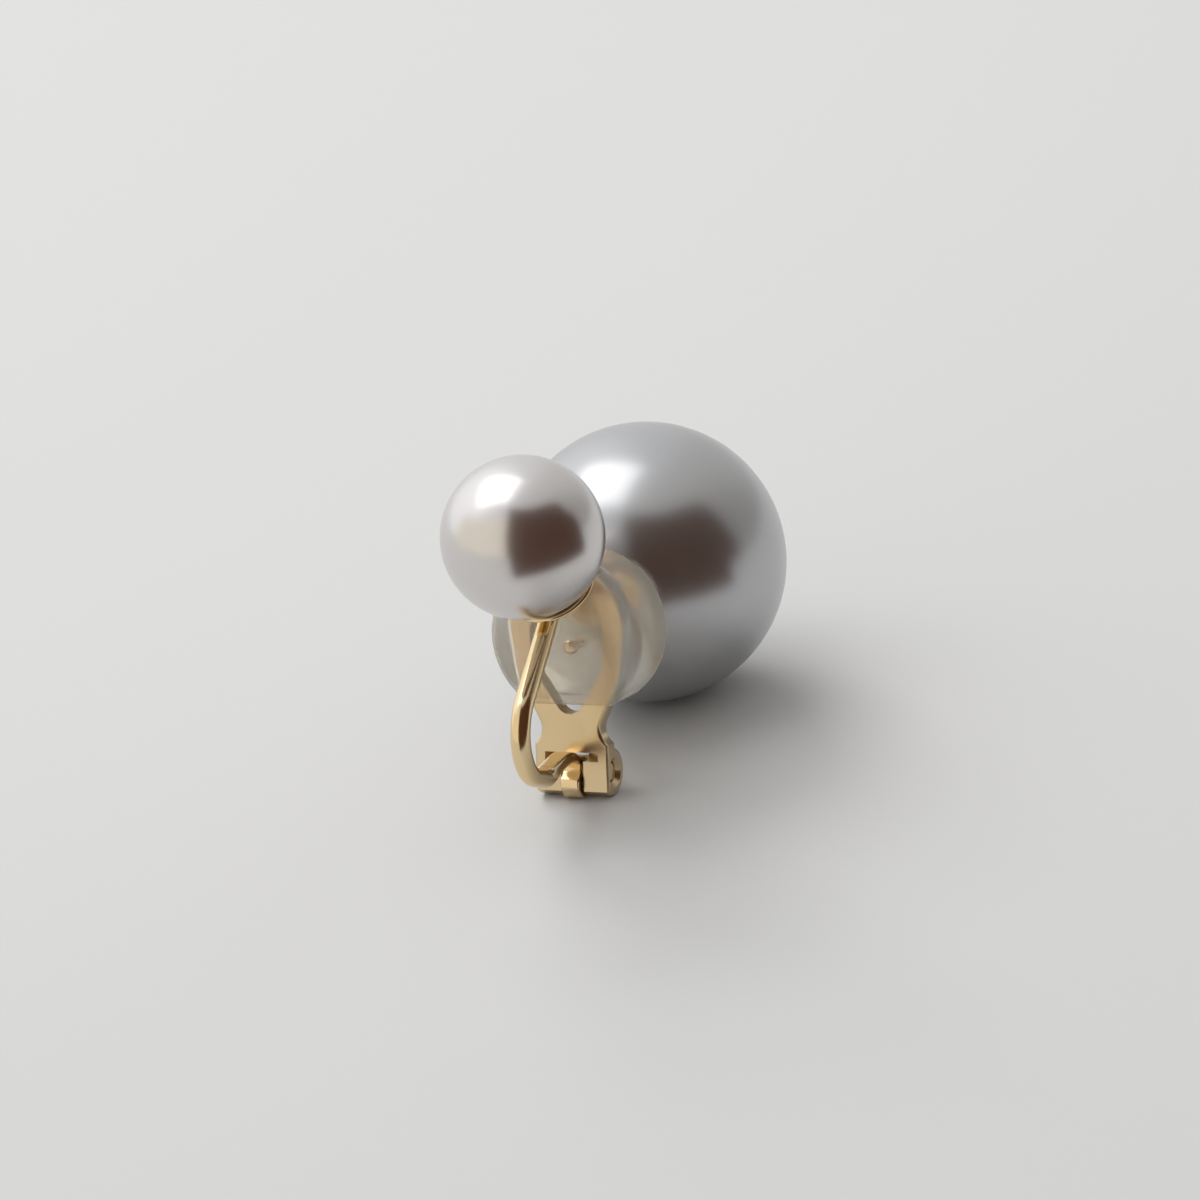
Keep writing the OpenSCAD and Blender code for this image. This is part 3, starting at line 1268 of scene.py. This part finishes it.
@dataclass(frozen=True)
class PhotoCamera:
    """The photograph's camera: far away with a long lens, a little rolled.

    Angles are in degrees, the distance in metres and the sensor in millimetres.
    """

    azimuth: float = 25.067
    elevation: float = 25.099
    roll: float = 8.788
    distance: float = 0.42283
    focal_px: float = 8621.3
    frame_px: float = 1200
    pin_px: Point = (578.2, 770.4)
    sensor: float = 36.0
    near: float = 0.05
    far: float = 5.0

    def axes(self) -> tuple[Vector, Vector, Vector]:
        """Directions of the photograph's camera.

        Returns:
            Its right, its up and its back.
        """
        turn, rise = math.radians(self.azimuth), math.radians(self.elevation)
        back = Vector(
            (math.sin(turn) * math.cos(rise), -math.cos(turn) * math.cos(rise), math.sin(rise))
        )
        level = Vector((math.cos(turn), math.sin(turn), 0))
        upright = back.cross(level)
        tilt = math.radians(self.roll)
        right = level * math.cos(tilt) - upright * math.sin(tilt)
        up = level * math.sin(tilt) + upright * math.cos(tilt)
        return right, up, back

    def build(self, pin: Vector) -> None:
        """Stand the camera so that the hinge pin lands on its pixel.

        Args:
            pin: The hinge pin's middle.
        """
        right, up, back = self.axes()
        middle = self.frame_px / 2
        view = Vector(
            ((middle - self.pin_px[0]) / self.focal_px, (self.pin_px[1] - middle) / self.focal_px, -1)
        )
        ray = (right * view.x + up * view.y + back * view.z).normalized()
        new_back = -ray
        new_right = up.cross(new_back).normalized()
        new_up = new_back.cross(new_right)
        bpy.ops.object.camera_add()
        camera = bpy.context.object
        camera.name = "photo_camera"
        camera.data.sensor_width = self.sensor
        camera.data.lens = self.sensor * self.focal_px / self.frame_px
        camera.data.clip_start = self.near
        camera.data.clip_end = self.far
        turn = Matrix((new_right, new_up, new_back)).transposed().to_4x4()
        camera.matrix_world = Matrix.Translation(pin + back * self.distance) @ turn
        bpy.context.scene.camera = camera


@dataclass(frozen=True)
class Softbox:
    """A square soft light that looks at the earring."""

    name: str
    towards: Vector
    distance: float
    size: float
    power: float
    reflected: bool = True

    def build(self, centre: Vector) -> None:
        """Hang the light.

        Args:
            centre: The point that it looks at.
        """
        deselect()
        bpy.ops.object.light_add(type="AREA")
        light = bpy.context.object
        light.name = self.name
        light.data.shape = "SQUARE"
        light.data.size = self.size
        light.data.energy = self.power
        light.matrix_world = aimed(centre + self.towards.normalized() * self.distance, self.towards)
        light.visible_camera = False
        light.visible_glossy = self.reflected


@dataclass(frozen=True)
class BentCard:
    """A card bent round the earring, which shows in reflections and, if told to, through clear pieces.

    Its ends are azimuths in degrees, counted like a camera's, and its lengths are in metres.
    """

    name: str
    start: float
    end: float
    height: float
    end_height: float
    radius: float
    finish: CardFinish
    seen_through: bool = False
    steps: int = 32
    # Evenness of the top edge's slope: 1 is even, and less leaves more of it to the card's end
    evenness: float = 0.7

    def build(self) -> None:
        """Spin an upright edge through the card's angle and shape its top edge."""
        turn = math.radians(self.start)
        foot = Vector((math.sin(turn), -math.cos(turn), 0)) * self.radius
        deselect()
        bpy.ops.mesh.primitive_plane_add(size=MM, location=foot)
        card = bpy.context.object
        card.name = self.name
        settle(card)
        open_all(card)
        bpy.ops.mesh.merge(type="CENTER")
        rise = (0, 0, self.height)
        bpy.ops.mesh.extrude_vertices_move(TRANSFORM_OT_translate={"value": rise})
        open_all(card)
        angle = math.radians(self.end - self.start)
        bpy.ops.mesh.spin(steps=self.steps, angle=angle, center=(0, 0, 0), axis=(0, 0, -1))
        bpy.ops.object.mode_set(mode="OBJECT")
        for vertex in card.data.vertices:
            if vertex.co.z > 0:
                azimuth = math.degrees(math.atan2(vertex.co.x, -vertex.co.y))
                left = min(max((self.end - azimuth) / (self.end - self.start), 0), 1)
                vertex.co.z = self.end_height + (self.height - self.end_height) * left**self.evenness
        dress(card, self.finish.material())
        for ray in ("camera", "diffuse", "volume_scatter", "shadow"):
            setattr(card, f"visible_{ray}", False)
        card.visible_transmission = self.seen_through
        card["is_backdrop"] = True


DARK_CARD = CardFinish("dark_card", (0.075, 0.034, 0.02))
CREAM_CARD = CardFinish("cream_card", (0.9, 0.85, 0.74))


@dataclass(frozen=True)
class Studio:
    """Pale floor, a room bright on the left, soft windows above and behind, and cards to reflect."""

    floor_size: float = 2.4
    floor_squares: int = 8
    paper: PaperFinish = PaperFinish()
    bright_side: Vector = Vector((-0.78, 0.2, 0.59))
    # The room's light by how far a direction turns to the bright side, from -1 to 1
    levels: tuple[tuple[float, Color], ...] = (
        (-0.8, (0.3, 0.29, 0.28)), (-0.4, (0.38, 0.37, 0.36)), (0.3, (0.66, 0.65, 0.64)),
        (0.62, (0.82, 0.83, 0.84)), (1.0, (1.2, 1.21, 1.23)),
    )
    lights: tuple[Softbox, ...] = (
        Softbox("window", Vector((-0.38, 0.04, 0.92)), distance=0.22, size=0.16, power=0.12),
        Softbox(
            "back_window", Vector((-0.55, 0.6, 0.58)), distance=0.7, size=0.36, power=2.55,
            reflected=False,
        ),
    )
    cards: tuple[BentCard, ...] = (
        BentCard(
            "dark_flag", start=4, end=98, height=0.032, end_height=0.03, radius=0.034,
            finish=DARK_CARD,
        ),
        BentCard(
            "far_dark_flag", start=0, end=108, height=0.67, end_height=0.26, radius=0.3,
            finish=DARK_CARD,
        ),
        BentCard(
            "far_cream_flag", start=-80, end=0, height=0.16, end_height=0.42, radius=0.3,
            finish=CREAM_CARD, seen_through=True,
        ),
    )

    def floor(self) -> None:
        """Lay the floor."""
        deselect()
        squares = self.floor_squares
        bpy.ops.mesh.primitive_grid_add(
            x_subdivisions=squares, y_subdivisions=squares, size=self.floor_size
        )
        floor = bpy.context.object
        floor.name = "paper_floor"
        dress(floor, self.paper.material())
        floor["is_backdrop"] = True

    def room(self) -> None:
        """Light the room, softly changing from its bright side round to its dim side."""
        world = bpy.data.worlds.new("room")
        world.use_nodes = True
        add, link = world.node_tree.nodes.new, world.node_tree.links.new
        place = add("ShaderNodeTexCoord")
        facing = add("ShaderNodeVectorMath")
        facing.operation = "DOT_PRODUCT"
        facing.inputs[1].default_value = self.bright_side.normalized()
        link(place.outputs["Generated"], facing.inputs[0])
        share = add("ShaderNodeMapRange")
        share.inputs["From Min"].default_value = -1.0
        link(facing.outputs["Value"], share.inputs["Value"])
        light = add("ShaderNodeValToRGB")
        light.color_ramp.interpolation = "EASE"
        stops = light.color_ramp.elements
        while len(stops) < len(self.levels):
            stops.new(0.5)
        for stop, (turned_to, level) in zip(stops, self.levels):
            stop.position = (turned_to + 1) / 2
            stop.color = (*level, 1)
        link(share.outputs["Result"], light.inputs["Fac"])
        link(light.outputs["Color"], world.node_tree.nodes["Background"].inputs["Color"])
        bpy.context.scene.world = world

    def build(self, centre: Vector) -> None:
        """Build floor, room, lights and cards.

        Args:
            centre: The point that the lights look at.
        """
        self.floor()
        self.room()
        for light in self.lights:
            light.build(centre)
        for card in self.cards:
            card.build()


# Assembly


def build_earring(frame: ClipFrame) -> None:
    """Build every piece of the earring.

    Args:
        frame: The clip's frame.
    """
    sheet_gold = GoldFinish("sheet_gold", tint=(0.68, 0.54, 0.34), roughness=0.24)
    wire_gold = GoldFinish("wire_gold", tint=(0.84, 0.65, 0.38), roughness=0.16)
    pin_gold = GoldFinish("pin_gold", tint=(0.80, 0.64, 0.42), roughness=0.2)
    white = PearlFinish(
        "white_nacre", body=(0.67, 0.66, 0.65), blush=(0.70, 0.66, 0.65),
        roughness=0.27, metallic=0.98, coat=0.05,
    )
    silver = PearlFinish(
        "silver_nacre", body=(0.48, 0.49, 0.50), blush=(0.51, 0.50, 0.50),
        roughness=0.28, metallic=0.94, coat=0.05,
    )
    paddle = Paddle(frame, sheet_gold)
    arm = WireArm(frame, wire_gold)
    assemblies = [
        paddle,
        HingePin(frame, pin_gold),
        arm,
        Pearl(frame, "front_pearl", "white_pearl", Body.FRONT, arm.towards_dish(), white),
        Pearl(frame, "back_pearl", "grey_pearl", Body.BACK, Vector((0, -1, 0)), silver),
        PadStud(frame, pin_gold),
        ComfortPad(frame, SiliconeFinish(), paddle),
    ]
    for assembly in assemblies:
        assembly.build()
        for piece in assembly.made:
            LOG.info("%s: %d faces", piece.name, len(piece.data.polygons))


def main() -> None:
    """Build the earring and its studio."""
    logging.basicConfig(level=logging.INFO, format="%(message)s")
    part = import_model()
    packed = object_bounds()
    frame = ClipFrame.from_part(part)
    PhotoCamera().build(frame.pin)
    low, high = packed
    Studio().build((low + high) / 2)
    build_earring(frame)
    bpy.context.scene.view_settings.view_transform = "Standard"
    deselect()


if __name__ == "__main__":
    main()
